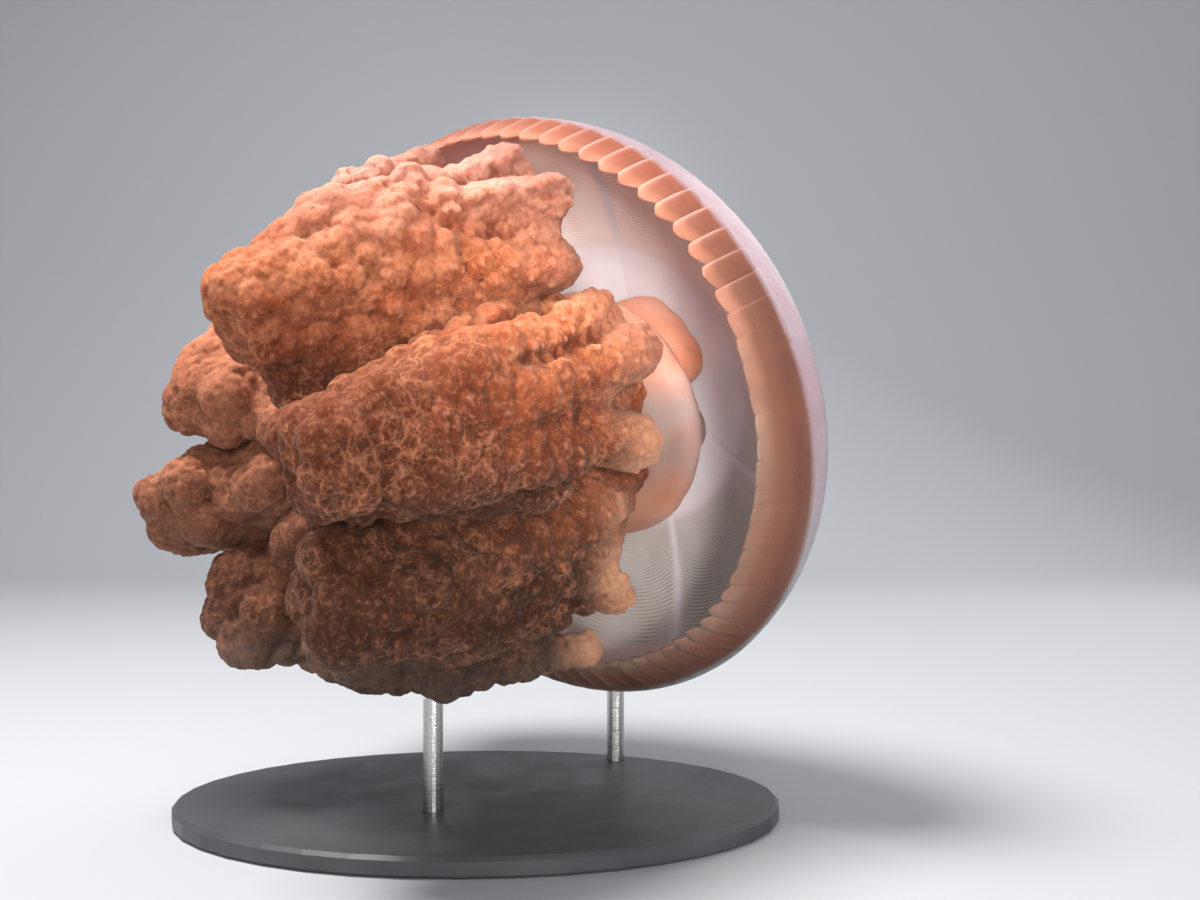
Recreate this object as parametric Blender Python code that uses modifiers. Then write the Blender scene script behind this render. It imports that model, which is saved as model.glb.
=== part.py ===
"""Display model of a tomato jellyfish (a rhizostome with eight frilled oral arms) on a plain stand.

Metres, +Z up.  The animal is modelled in its bell's own frame: local +Z is the bell's axis towards the
top of the bell, the rim lies in the local XY plane, and the oral arms hang towards local -Z.  An empty
carries that frame and leans it into the swimming pose.  The world origin is the middle of the stand's
underside.
"""

import math
from collections import namedtuple

import bmesh
import bpy
from mathutils import Matrix, Vector

# ---- driving dimensions ----
BELL_R = 0.130                      # radius of the bell at its widest
DOME_H = 0.55 * BELL_R              # height of the bell over its widest ring
ROOF_THICK = 0.011                  # jelly over the middle of the bell
WALL_THICK = 0.0045                 # jelly at the widest ring
GAP = 0.0003                        # clearance between neighbouring pieces
DOME_SIDES = 40
DOME_RINGS = 7
SMOOTH_ANGLE = math.radians(50)     # edges blunter than this are shaded smooth

# ---- pose of the bell's frame ----
BELL_CENTRE = Vector((0.030, 0.032, 0.166))
TURN = math.radians(41.7)           # from straight back (+Y) towards the right (+X)
RISE = math.radians(-27.7)          # roll that lifts the top of the bell
BELL_FRAME = (Matrix.Rotation(RISE, 4, "Y") @ Matrix.Rotation(-TURN, 4, "Z")
              @ Matrix.Rotation(math.radians(-90), 4, "X"))

# ---- margin of the bell ----
OCTANTS = 8
LAPPETS_PER_OCTANT = 10
SCALLOP_STEPS = 4                   # straight pieces in one lappet's rounded end
FOLD_R = 0.15 * BELL_R              # radius of the rolled margin
LAPPET_LENGTH = 0.165 * BELL_R
LAPPET_NOTCH = 0.20                 # depth of the notch between lappets, as a share of their length
LAPPET_THICK = 0.0014
FOLD_ROLLS = (0, 0.5, 1)            # rows of the rolled part, in shares of the roll
FOLD_THICK = (WALL_THICK, 0.0038, 0.0030)
OCTANT_SLIT = 0.5 * GAP / (0.8 * BELL_R)    # half the gap between octants, as an angle
FOLD_MEAN = math.radians(33.8)      # how far the margin is rolled inwards, round the ring
FOLD_SWING = math.radians(23.8)
FOLD_PEAK = math.radians(138.0)     # where it is rolled in most

# ---- arm disc, hung from the bell by four pillars ----
DISC_R = 0.44 * BELL_R
DISC_Z = 0.17 * BELL_R
DISC_HALF_THICK = 0.13 * BELL_R
DISC_SHIFT = 0.06                   # how far the disc hangs off the axis, in bell radii
DISC_SHIFT_TO = 75.0                # and to which side, in degrees round the bell
PILLAR_COUNT = 4
PILLAR_FIRST = -15.0                # degrees round the bell
PILLAR_SPREAD = (-16, 0, 16)        # the three lobes of a pillar, in degrees from its middle
PILLAR_RING = 0.27                  # in bell radii, as the next two
PILLAR_Z = 0.30
PILLAR_HALVES = (0.115, 0.26)       # half width and half height of a lobe
DISC_TRIANGLES = 320

# ---- oral arms; lengths are in bell radii, depths are measured down from the rim's plane ----
LEAN = Vector((-0.045, -0.20))      # sideways drift of the bundle of arms per unit of depth
RIDGES = (-1, 0, 1)                 # three frilled ridges to an arm
RIDGE_LOBES = 8
RIDGE_SIZE = 0.122                  # radius of a ridge, but for its narrower finger
RIDGE_FULL_AT = 0.625               # share of the way down at which it has that radius
RIDGE_SWELL = 0.04                  # how far its middle stands out
RIDGE_WAVE = 0.10                   # unevenness of its radius
RIDGE_WAVE_STEP = 2.4
RIDGE_WAVE_SHIFT = 1.7
FINGER_DEPTH = 0.29                 # upper ends of the frilled ridges
FINGER_STEP = 0.03                  # how much lower the outer two start
TIP_FAN = 5                         # degrees between the ridges at the arm's tip
TAPER_FROM = 0.55                   # share of the way down from which an arm narrows to its tip
CORE_LOBES = 7
CORE_TOP = 0.02                     # depth of the stem under the disc
CORE_ROOT = 0.30                    # radius at which the stem starts
CORE_BELOW_TIP = 0.05               # how far inside the tip's radius it ends
CORE_BOW = 0.12                     # how far its middle stands out
CORE_SIZE = (0.12, 0.055)           # its half width, and how much wider its middle is
WING_HALVES = (0.11, 0.154)         # the inner wing's half width and half height
ARM_TRIANGLES = 545
ARM_VOXEL = 0.0028

# root: azimuth of the arm's upper end; fan: how far each of its ridges is turned from it there;
# fingers: radii at which their free upper ends lie; finger: half width of those ends; tip, tip_radius
# and tip_depth: middle of the lower end; taper: share of its width that is left there
Arm = namedtuple("Arm", "root fan fingers finger tip tip_radius tip_depth taper")
ARMS = {
    1: Arm(7, (-18, -6, 18), (0.66, 0.67, 0.60), 0.102, 15, 0.60, 1.30, 0.95),
    2: Arm(58, (-9, 8, 15), (0.52, 0.51, 0.67), 0.092, 60, 0.58, 1.27, 0.95),
    3: Arm(106, (-13, 0, 13), (0.78, 0.78, 0.76), 0.086, 108, 0.58, 1.02, 0.95),
    4: Arm(150, (-13, 0, 13), (0.75, 0.75, 0.75), 0.086, 149, 0.66, 1.06, 0.88),
    5: Arm(189, (-13, 0, 13), (0.75, 0.75, 0.76), 0.086, 187, 0.62, 1.07, 0.70),
    6: Arm(231, (-13, 0, 13), (0.80, 0.80, 0.76), 0.086, 223, 0.55, 0.95, 0.62),
    7: Arm(280, (-13, 0, 13), (0.82, 0.82, 0.85), 0.086, 288, 0.60, 0.74, 0.88),
    8: Arm(325, (-11, 0, 8), (0.87, 0.84, 0.67), 0.094, 311, 0.53, 1.15, 0.74),
}
# arms made first keep their whole shape, later ones give way to them
ARM_ORDER = (1, 8, 2, 3, 7, 4, 5, 6)

# ---- stand ----
BASE_LENGTH = 0.25
BASE_WIDTH = 0.17
BASE_THICK = 0.008
BASE_BEVEL = 0.0015
BASE_SIDES = 40
BASE_EDGE_ANGLE = math.radians(60)
ROD_R = 0.004
ROD_SIDES = 16
ROD_BELL_AT = (0.0580, 0.0660)      # XY of the rod under the bell
ROD_ARMS_AT = (-0.0160, -0.0220)    # XY of the rod under the arms
ROD_REACH = 0.075                   # rods start this tall and are cut where they meet the body
ROD_SINK = 0.004                    # depth of a rod's seat in the base
SEAT_CUT_ABOVE = 0.01               # how far the seat's cutter stands out of the base


def clear_scene():
    for obj in list(bpy.data.objects):
        bpy.data.objects.remove(obj, do_unlink=True)


def new_collection(name):
    collection = bpy.data.collections.new(name)
    bpy.context.scene.collection.children.link(collection)
    return collection


def material(name, colour, roughness, metallic=0.0, transmission=0.0):
    mat = bpy.data.materials.new(name)
    mat.use_nodes = True
    shader = mat.node_tree.nodes["Principled BSDF"]
    shader.inputs["Base Color"].default_value = (*colour, 1.0)
    shader.inputs["Roughness"].default_value = roughness
    shader.inputs["Metallic"].default_value = metallic
    shader.inputs["Transmission Weight"].default_value = transmission
    mat.diffuse_color = (*colour, 1.0)
    return mat


def polar(share, degrees, z=0.0):
    """A point of the bell's frame from a radius in bell radii, an azimuth and a height in bell radii."""
    angle = math.radians(degrees)
    return Vector((share * math.cos(angle), share * math.sin(angle), z)) * BELL_R


def mesh_object(name, bm, collection, mat=None):
    mesh = bpy.data.meshes.new(name)
    bmesh.ops.recalc_face_normals(bm, faces=bm.faces)
    bm.to_mesh(mesh)
    bm.free()
    obj = bpy.data.objects.new(name, mesh)
    collection.objects.link(obj)
    if mat:
        mesh.materials.append(mat)
    return obj


def bake_modifiers(obj):
    """Replace an object's mesh by what its modifiers make of it."""
    bpy.context.view_layer.update()
    graph = bpy.context.evaluated_depsgraph_get()
    baked = bpy.data.meshes.new_from_object(obj.evaluated_get(graph))
    old = obj.data
    obj.modifiers.clear()
    obj.data = baked
    bpy.data.meshes.remove(old)
    return obj


def keep_largest(obj):
    """Drop the loose crumbs that a cut leaves."""
    bm = bmesh.new()
    bm.from_mesh(obj.data)
    unseen = set(bm.verts)
    bodies = []
    while unseen:
        stack = [unseen.pop()]
        body = list(stack)
        while stack:
            for edge in stack.pop().link_edges:
                for vert in edge.verts:
                    if vert in unseen:
                        unseen.remove(vert)
                        stack.append(vert)
                        body.append(vert)
        bodies.append(body)
    bodies.sort(key=len)
    for body in bodies[:-1]:
        bmesh.ops.delete(bm, geom=body, context="VERTS")
    bm.to_mesh(obj.data)
    bm.free()


def swollen_copy(obj, collection, amount=GAP):
    """A cutter of the same shape, larger by the clearance."""
    bm = bmesh.new()
    bm.from_mesh(obj.data)
    bm.normal_update()
    for vert in bm.verts:
        vert.co += vert.normal * amount * vert.calc_shell_factor()
    cutter = mesh_object(f"{obj.name}_cutter", bm, collection)
    cutter.parent = obj.parent
    cutter.hide_render = True
    cutter.display_type = "WIRE"
    return cutter


def cut(obj, cutters, operation="DIFFERENCE"):
    for cutter in cutters:
        step = obj.modifiers.new(cutter.name, "BOOLEAN")
        step.object = cutter
        step.operation = operation
    bake_modifiers(obj)
    keep_largest(obj)


def blend(name, lobes, voxel, triangles, collection, mat, pose):
    """One flowing body from overlapping ellipsoids, each given by its centre and three half axes."""
    bm = bmesh.new()
    for centre, halves in lobes:
        place = Matrix.Translation(centre) @ Matrix.Diagonal((*halves, 1.0))
        bmesh.ops.create_icosphere(bm, subdivisions=2, radius=1.0, matrix=place)
    obj = mesh_object(name, bm, collection, mat)
    obj.parent = pose
    remesh = obj.modifiers.new("flow", "REMESH")
    remesh.mode = "VOXEL"
    remesh.voxel_size = voxel
    soften = obj.modifiers.new("soften", "SMOOTH")
    soften.iterations = 4
    bake_modifiers(obj)
    keep_largest(obj)
    reduce = obj.modifiers.new("reduce", "DECIMATE")
    reduce.ratio = triangles / (2 * len(obj.data.polygons))
    return bake_modifiers(obj)


# ---- bell ----
def dome_profile(radius, height, steps):
    """Quarter ellipse from the top of the bell down to its widest ring."""
    turns = [math.radians(90) * (1 - k / steps) for k in range(steps + 1)]
    return [(radius * math.cos(q), height * math.sin(q)) for q in turns]


def spin(name, profile, steps, collection, mat, pose):
    """Turn a profile that starts and ends on the local Z axis."""
    mesh = bpy.data.meshes.new(name)
    edges = [(k, k + 1) for k in range(len(profile) - 1)]
    mesh.from_pydata([(r, 0, z) for r, z in profile], edges, [])
    obj = bpy.data.objects.new(name, mesh)
    collection.objects.link(obj)
    if mat:
        mesh.materials.append(mat)
    obj.parent = pose
    screw = obj.modifiers.new("turn", "SCREW")
    screw.axis = "Z"
    screw.steps = steps
    screw.render_steps = steps
    screw.use_merge_vertices = True
    screw.merge_threshold = 0.00001
    return bake_modifiers(obj)


def make_bell(collection, mat, pose):
    outer = dome_profile(BELL_R, DOME_H, DOME_RINGS)
    inner = dome_profile(BELL_R - WALL_THICK, DOME_H - ROOF_THICK, DOME_RINGS)
    lift = GAP / 2
    outer[-1] = (BELL_R, lift)
    inner[-1] = (BELL_R - WALL_THICK, lift)
    return spin("bell", outer + inner[::-1], DOME_SIDES, collection, mat, pose)


def cavity_cutter(collection, pose):
    """Solid of the space under the bell, clear of its roof, and open downwards."""
    inner = dome_profile(BELL_R - WALL_THICK - GAP, DOME_H - ROOF_THICK - GAP, DOME_RINGS)
    profile = inner + [(BELL_R - WALL_THICK - GAP, -BELL_R), (0, -BELL_R)]
    cutter = spin("cavity_cutter", profile, DOME_SIDES, collection, None, pose)
    cutter.hide_render = True
    cutter.display_type = "WIRE"
    return cutter


def fold_at(azimuth):
    return FOLD_MEAN + FOLD_SWING * math.cos(azimuth - FOLD_PEAK)


def margin_point(azimuth, roll, along, inset):
    """Point of the margin: rolled by a share of the fold, then straight on, then in from the outside."""
    angle = fold_at(azimuth) * roll
    radius = BELL_R - FOLD_R * (1 - math.cos(angle)) - along * math.sin(angle)
    height = -GAP / 2 - FOLD_R * math.sin(angle) - along * math.cos(angle)
    radius -= inset * math.cos(angle)
    height += inset * math.sin(angle)
    return Vector((radius * math.cos(azimuth), radius * math.sin(azimuth), height))


def lappet_length(share):
    """Length of a lappet across its width, with its end rounded."""
    bow = math.sqrt(max(0.0, 1 - (2 * share - 1) ** 2))
    return LAPPET_LENGTH * (1 - LAPPET_NOTCH + LAPPET_NOTCH * bow)


def margin_rows(bm, start, sweep, inner):
    """Rows of points of one side of an octant, from the ring down to the scalloped ends."""
    thick = FOLD_THICK if inner else (0, 0, 0)
    columns = [start + sweep * k / LAPPETS_PER_OCTANT for k in range(LAPPETS_PER_OCTANT + 1)]
    rows = []
    for roll, inset in zip(FOLD_ROLLS, thick):
        rows.append([bm.verts.new(margin_point(t, roll, 0, inset)) for t in columns])
    ends = []
    steps = LAPPETS_PER_OCTANT * SCALLOP_STEPS
    for k in range(steps + 1):
        share = (k % SCALLOP_STEPS) / SCALLOP_STEPS
        inset = LAPPET_THICK if inner else 0
        ends.append(bm.verts.new(margin_point(start + sweep * k / steps, 1, lappet_length(share), inset)))
    return rows, ends


def skin_rows(bm, rows, ends):
    for upper, lower in zip(rows, rows[1:]):
        for k in range(LAPPETS_PER_OCTANT):
            bm.faces.new((upper[k], upper[k + 1], lower[k + 1], lower[k]))
    half = SCALLOP_STEPS // 2
    for k in range(LAPPETS_PER_OCTANT):
        left = rows[-1][k]
        right = rows[-1][k + 1]
        tips = ends[k * SCALLOP_STEPS:(k + 1) * SCALLOP_STEPS + 1]
        bm.faces.new((left, right, tips[half]))
        for i in range(SCALLOP_STEPS):
            corner = left if i < half else right
            bm.faces.new((corner, tips[i + 1], tips[i]))


def make_margin_octant(index, collection, mat, pose):
    start = math.radians(360 / OCTANTS * index) + OCTANT_SLIT
    sweep = math.radians(360 / OCTANTS) - 2 * OCTANT_SLIT
    bm = bmesh.new()
    outer, outer_ends = margin_rows(bm, start, sweep, False)
    inner, inner_ends = margin_rows(bm, start, sweep, True)
    skin_rows(bm, outer, outer_ends)
    skin_rows(bm, inner, inner_ends)
    for k in range(LAPPETS_PER_OCTANT):
        bm.faces.new((outer[0][k], outer[0][k + 1], inner[0][k + 1], inner[0][k]))
    for k in range(len(outer_ends) - 1):
        bm.faces.new((outer_ends[k], outer_ends[k + 1], inner_ends[k + 1], inner_ends[k]))
    for end in (0, -1):
        outside = [row[end] for row in outer] + [outer_ends[end]]
        inside = [row[end] for row in inner] + [inner_ends[end]]
        for k in range(len(outside) - 1):
            bm.faces.new((outside[k], outside[k + 1], inside[k + 1], inside[k]))
    obj = mesh_object(f"margin_{index + 1}", bm, collection, mat)
    obj.parent = pose
    return obj


# ---- arm disc ----
def make_arm_disc(collection, mat, pose, cavity):
    middle = polar(DISC_SHIFT, DISC_SHIFT_TO) + Vector((0, 0, DISC_Z))
    lobes = [(middle, (DISC_R, DISC_R, DISC_HALF_THICK))]
    width, height = (half * BELL_R for half in PILLAR_HALVES)
    for k in range(PILLAR_COUNT):
        azimuth = PILLAR_FIRST + 360 / PILLAR_COUNT * k
        for side in PILLAR_SPREAD:
            lobes.append((polar(PILLAR_RING, azimuth + side, PILLAR_Z), (width, width, height)))
    disc = blend("arm_disc", lobes, ARM_VOXEL, DISC_TRIANGLES, collection, mat, pose)
    cut(disc, [cavity], "INTERSECT")
    return disc


# ---- oral arms ----
def arm_point(radius, azimuth, depth):
    """A point beside the leaning middle line of the bundle."""
    return Vector((LEAN.x * depth, LEAN.y * depth, -depth)) * BELL_R + polar(radius, azimuth)


def mix(first, last, share):
    return first + (last - first) * share


def narrowing(arm, share):
    """Share of its full width that an arm has this far down."""
    return mix(1.0, arm.taper, max(0.0, (share - TAPER_FROM) / (1 - TAPER_FROM)))


def ridge_lobes(arm, ridge):
    """Rounded lobes along one frilled ridge, from its free upper end to the arm's tip."""
    finger = arm.fingers[ridge + 1]
    lobes = []
    for k in range(RIDGE_LOBES):
        share = k / (RIDGE_LOBES - 1)
        azimuth = mix(arm.root + arm.fan[ridge + 1], arm.tip + ridge * TIP_FAN, share)
        radius = mix(finger, arm.tip_radius, share) + RIDGE_SWELL * math.sin(math.pi * share)
        depth = mix(FINGER_DEPTH + FINGER_STEP * abs(ridge), arm.tip_depth, share)
        wave = math.sin(RIDGE_WAVE_STEP * k + RIDGE_WAVE_SHIFT * ridge + arm.root)
        size = mix(arm.finger, RIDGE_SIZE, min(1.0, share / RIDGE_FULL_AT)) * (1 + RIDGE_WAVE * wave)
        size *= narrowing(arm, share) * BELL_R
        lobes.append((arm_point(radius, azimuth, depth), (size, size, size)))
    return lobes


def core_lobes(arm):
    """The arm's stem under the disc, its thick middle and its inner wing."""
    wing, wing_height = (half * BELL_R for half in WING_HALVES)
    lobes = []
    for k in range(CORE_LOBES):
        share = k / (CORE_LOBES - 1)
        middle = math.sin(math.pi * share)
        azimuth = mix(arm.root, arm.tip, share)
        depth = mix(CORE_TOP, arm.tip_depth - CORE_TOP, share)
        radius = mix(CORE_ROOT, arm.tip_radius - CORE_BELOW_TIP, share) + CORE_BOW * middle
        size = (CORE_SIZE[0] + CORE_SIZE[1] * middle) * narrowing(arm, share) * BELL_R
        lobes.append((arm_point(radius, azimuth, depth), (size, size, size)))
        if 1 < k < CORE_LOBES - 1:
            lobes.append((arm_point(0.5 * radius, azimuth, depth), (wing, wing, wing_height)))
    return lobes


def make_arms(collection, cutters, mat, pose, disc):
    keep_clear = [swollen_copy(disc, cutters)]
    arms = []
    for number in ARM_ORDER:
        lobes = core_lobes(ARMS[number])
        for ridge in RIDGES:
            lobes += ridge_lobes(ARMS[number], ridge)
        arm = blend(f"oral_arm_{number}", lobes, ARM_VOXEL, ARM_TRIANGLES, collection, mat, pose)
        cut(arm, keep_clear)
        keep_clear.append(swollen_copy(arm, cutters))
        arms.append(arm)
    return arms


# ---- stand ----
def make_base(collection, mat):
    bm = bmesh.new()
    scale = Matrix.Diagonal((BASE_LENGTH / 2, BASE_WIDTH / 2, BASE_THICK, 1.0))
    place = Matrix.Translation((0, 0, BASE_THICK / 2)) @ scale
    bmesh.ops.create_cone(bm, cap_ends=True, segments=BASE_SIDES, radius1=1, radius2=1, depth=1, matrix=place)
    base = mesh_object("stand_base", bm, collection, mat)
    edge = base.modifiers.new("edge", "BEVEL")
    edge.width = BASE_BEVEL
    edge.segments = 1
    edge.limit_method = "ANGLE"
    edge.angle_limit = BASE_EDGE_ANGLE
    return bake_modifiers(base)


def rod_blank(name, at, bottom, top, radius, collection, mat=None):
    bm = bmesh.new()
    place = Matrix.Translation((at[0], at[1], (bottom + top) / 2))
    bmesh.ops.create_cone(bm, cap_ends=True, segments=ROD_SIDES, radius1=radius, radius2=radius,
                          depth=top - bottom, matrix=place)
    return mesh_object(name, bm, collection, mat)


def make_rod(name, at, base, keep_clear, collection, cutters, mat):
    rod = rod_blank(name, at, BASE_THICK - ROD_SINK, ROD_REACH, ROD_R, collection, mat)
    cut(rod, keep_clear)
    seat = rod_blank(f"{name}_seat", at, BASE_THICK - ROD_SINK - GAP, BASE_THICK + SEAT_CUT_ABOVE,
                     ROD_R + GAP, cutters)
    seat.hide_render = True
    seat.display_type = "WIRE"
    cut(base, [seat])
    return rod


def shade(objects):
    for obj in objects:
        obj.data.shade_smooth()
        obj.data.set_sharp_from_angle(angle=SMOOTH_ANGLE)


def main():
    clear_scene()
    model = new_collection("tomato_jellyfish")
    cutters = new_collection("cutters")
    pose = bpy.data.objects.new("bell_frame", None)
    pose.matrix_world = Matrix.Translation(BELL_CENTRE) @ BELL_FRAME
    model.objects.link(pose)

    jelly = material("bell_jelly", (0.62, 0.50, 0.48), 0.35, transmission=0.2)
    band = material("margin_jelly", (0.55, 0.28, 0.20), 0.4)
    disc_flesh = material("disc_flesh", (0.62, 0.33, 0.20), 0.4)
    frill = material("frill_flesh", (0.60, 0.23, 0.09), 0.6)
    paint = material("stand_paint", (0.20, 0.20, 0.21), 0.5)
    steel = material("stand_steel", (0.60, 0.60, 0.60), 0.3, metallic=1.0)

    bell = make_bell(model, jelly, pose)
    margins = [make_margin_octant(k, model, band, pose) for k in range(OCTANTS)]
    cavity = cavity_cutter(cutters, pose)
    disc = make_arm_disc(model, disc_flesh, pose, cavity)
    arms = make_arms(model, cutters, frill, pose, disc)

    base = make_base(model, paint)
    bell_clear = [swollen_copy(bell, cutters)]
    arms_clear = [swollen_copy(arm, cutters) for arm in arms]
    rod_bell = make_rod("stand_rod_bell", ROD_BELL_AT, base, bell_clear, model, cutters, steel)
    rod_arms = make_rod("stand_rod_arms", ROD_ARMS_AT, base, arms_clear, model, cutters, steel)
    shade([bell, disc, base, rod_bell, rod_arms, *margins, *arms])


main()
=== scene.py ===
"""Looks of the tomato jellyfish display model.

Metres.  The skins of the animal are made in the bell's own frame, which an object matrix leans into the
pose: local +Z is the bell's axis towards its top, the rim lies in the local XY plane, and the oral arms
hang towards local -Z.  Shares are of the bell's radius.
"""
import itertools
import math
import random
from collections import namedtuple

import bmesh
import bpy
import numpy as np
from mathutils import Matrix, Vector


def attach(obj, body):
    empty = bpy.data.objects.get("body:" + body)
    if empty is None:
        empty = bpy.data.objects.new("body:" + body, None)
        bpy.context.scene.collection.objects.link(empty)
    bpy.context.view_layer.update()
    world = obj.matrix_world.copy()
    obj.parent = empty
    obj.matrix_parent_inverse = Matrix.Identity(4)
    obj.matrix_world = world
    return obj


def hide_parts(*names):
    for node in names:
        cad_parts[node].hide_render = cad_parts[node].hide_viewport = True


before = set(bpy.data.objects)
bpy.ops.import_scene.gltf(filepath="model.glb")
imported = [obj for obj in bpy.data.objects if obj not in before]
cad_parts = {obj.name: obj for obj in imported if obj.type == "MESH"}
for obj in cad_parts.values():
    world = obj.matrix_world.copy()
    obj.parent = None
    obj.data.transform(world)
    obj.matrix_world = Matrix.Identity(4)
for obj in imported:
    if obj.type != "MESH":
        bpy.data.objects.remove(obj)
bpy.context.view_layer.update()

# ---- the solid model's driving sizes ----
BELL_R = 0.130
DOME_H = 0.55 * BELL_R
ROOF_THICK = 0.011
WALL_THICK = 0.0045
BELL_CENTRE = Vector((0.030, 0.032, 0.166))
TURN = math.radians(41.7)
RISE = math.radians(-27.7)
BELL_FRAME = (Matrix.Rotation(RISE, 4, "Y") @ Matrix.Rotation(-TURN, 4, "Z")
              @ Matrix.Rotation(math.radians(-90), 4, "X"))
POSE = Matrix.Translation(BELL_CENTRE) @ BELL_FRAME
WORLD_UP = np.array(BELL_FRAME.to_3x3().transposed() @ Vector((0, 0, 1)))

LAPPETS = 80
FOLD_R = 0.15 * BELL_R
LAPPET_LENGTH = 0.165 * BELL_R
FOLD_MEAN = math.radians(33.8)
FOLD_SWING = math.radians(23.8)
FOLD_PEAK = math.radians(138.0)

DISC_R = 0.44 * BELL_R
DISC_Z = 0.17 * BELL_R
DISC_HALF_THICK = 0.13 * BELL_R
DISC_SHIFT = 0.06
DISC_SHIFT_TO = 75.0
PILLAR_COUNT = 4
PILLAR_FIRST = -15.0
PILLAR_SPREAD = (-16, 0, 16)
PILLAR_RING = 0.27
PILLAR_Z = 0.30
PILLAR_HALVES = (0.115, 0.26)
PILLAR_INTO_ROOF = 0.002

LEAN = Vector((-0.045, -0.20))
RIDGES = (-1, 0, 1)
RIDGE_SIZE = 0.122
RIDGE_FULL_AT = 0.625
RIDGE_SWELL = 0.04
RIDGE_WAVE = 0.10
RIDGE_WAVE_TURN = 16.8              # of the whole ridge, in radians
RIDGE_WAVE_SHIFT = 1.7
FINGER_DEPTH = 0.29
FINGER_STEP = 0.03
TIP_FAN = 5
TAPER_FROM = 0.55
CORE_LOBES = 7
CORE_TOP = 0.02
CORE_ROOT = 0.30
CORE_BELOW_TIP = 0.05
CORE_BOW = 0.12
CORE_SIZE = (0.12, 0.055)
WING_HALVES = (0.11, 0.154)
Arm = namedtuple("Arm", "root fan fingers finger tip tip_radius tip_depth taper")
ARMS = {
    1: Arm(7, (-18, -6, 18), (0.66, 0.67, 0.60), 0.102, 15, 0.60, 1.30, 0.95),
    2: Arm(58, (-9, 8, 15), (0.52, 0.51, 0.67), 0.092, 60, 0.58, 1.27, 0.95),
    3: Arm(106, (-13, 0, 13), (0.78, 0.78, 0.76), 0.086, 108, 0.58, 1.02, 0.95),
    4: Arm(150, (-13, 0, 13), (0.75, 0.75, 0.75), 0.086, 149, 0.66, 1.06, 0.88),
    5: Arm(189, (-13, 0, 13), (0.75, 0.75, 0.76), 0.086, 187, 0.62, 1.07, 0.70),
    6: Arm(231, (-13, 0, 13), (0.80, 0.80, 0.76), 0.086, 223, 0.55, 0.95, 0.62),
    7: Arm(280, (-13, 0, 13), (0.82, 0.82, 0.85), 0.086, 288, 0.60, 0.74, 0.88),
    8: Arm(325, (-11, 0, 8), (0.87, 0.84, 0.67), 0.094, 311, 0.53, 1.15, 0.74),
}

# ---- skin of the bell ----
SKIN_INSET = 0.0004                 # the skin lies this deep inside the solid
DOME_RINGS = (                      # points in a ring, and the rings' angles up from the rim, in degrees
    (40, (88.5, 86)), (80, (83, 79)), (160, (74, 68, 62, 56)), (320, (50, 45, 40, 36, 32, 28, 25, 22)),
    (640, (19, 16.5, 14, 12, 10, 8, 6, 4, 2, 0)))
PIMPLE_SIZE = 0.0018                # of the fine pimples near the rim, and their height
PIMPLE_HEIGHT = 0.0004
LAPPET_ROWS = (0.06, 0.13, 0.21, 0.29, 0.37, 0.45, 0.53, 0.61, 0.69, 0.77, 0.84, 0.90, 0.95, 0.985)
LAPPET_INNER_ROWS = (0.985, 0.93, 0.84, 0.72, 0.58, 0.42, 0.22)
LAPPET_END_DROP = 0.0006            # how far a lappet's end turns in
MARGIN_THICK = 0.0030               # where the lappets begin
ROOF_RINGS = (                      # points in a ring, and the rings' radii, inside the bell
    (320, (0.46, 0.42, 0.38, 0.34)), (160, (0.30, 0.26, 0.22)), (80, (0.17, 0.12)), (40, (0.07, 0.03)))
COLUMNS_PER_LAPPET = (0.008, 0.07, 0.20, 0.38, 0.62, 0.80, 0.93, 0.992)
FLUSH_AT = math.radians(25)         # where the lappets lie flush side by side
BAND_LATE = 0.26                    # how much later the band starts on the lowest side
LOWEST_AT = math.radians(112)
LAPPET_STEP = 0.0020                # how far a lappet's free edge stands over its neighbour
LAPPET_BULGE = 0.0008
LAPPET_POINT = 0.24                 # where a lapping lappet is longest, in shares of its width
LAPPET_SLANT = 0.34                 # how much shorter its covered side is
LAPPET_OVERHANG = 0.13              # share of a lappet's width by which it laps over
LAPPET_INNER = 0.0017               # depth of a lappet's inner face
CANALS = tuple(math.radians(d) for d in (-94, -56, -4, 54, 99, 144, 188, 229))
MUSCLE_OUTER = 0.955                # the ring muscle, in shares of the radius
MUSCLE_INNER = 0.50
ROWS_PER_MUSCLE = 4
MUSCLE_BOW = 0.15                   # how far the rows bend inwards beside a canal
MUSCLE_PITCH = 0.00155
MUSCLE_RELIEF = 0.00022
MUSCLE_COLUMNS = 320
CANAL_RELIEF = 0.0006
CANAL_HALF = 0.0028

# ---- skins of the arms and the disc ----
ARM_VOXEL = 0.00084
FLOW_VOXEL = 0.0028
DISC_VOXEL = 0.0013
FINGER_SLIM = (0.90, 1.0, 0.98)     # of the solid's width, for each ridge's finger
NECK = 0.70                         # and behind the finger's head
NECK_AT = 0.20                      # share of the ridge at which it is narrowest
CORE_SHARE = (0.92, 0.97)           # the ridges' smooth cores at the finger and from the middle on
RIDGE_BALLS = 15
SIDE_RIDGE = 1.75                   # lower side ridges, in fans from the middle one
SIDE_DROP = 0.13                    # how much nearer to the bundle's middle line they lie
SIDE_ABOVE_TIP = 0.03
SIDE_SIZE = 0.115
FOLD_SPACING = (0.0075, 0.0150)     # between the folds of a ridge, at its finger and at the arm's tip
FOLD_HALF = (0.0052, 0.0090)        # half thickness of a fold
FOLD_TILT = 0.55
CLOSE_REACH = 0.0065                # valleys up to twice this width are filled on the lower arm
FILL_SIZE = 0.20                    # flesh that joins the arms round the middle of the bundle
FILL_RADIUS = 0.36
FILL_TOP = 0.38
FILL_ABOVE_TIP = 0.32
KNOB_SPACING = 0.0094
HEAD_KNOB_SPACING = 0.0062          # on the finger heads, down to the next depth
HEADS_TO = 0.42
KNOB_R = (0.0062, 0.0098)
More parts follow.
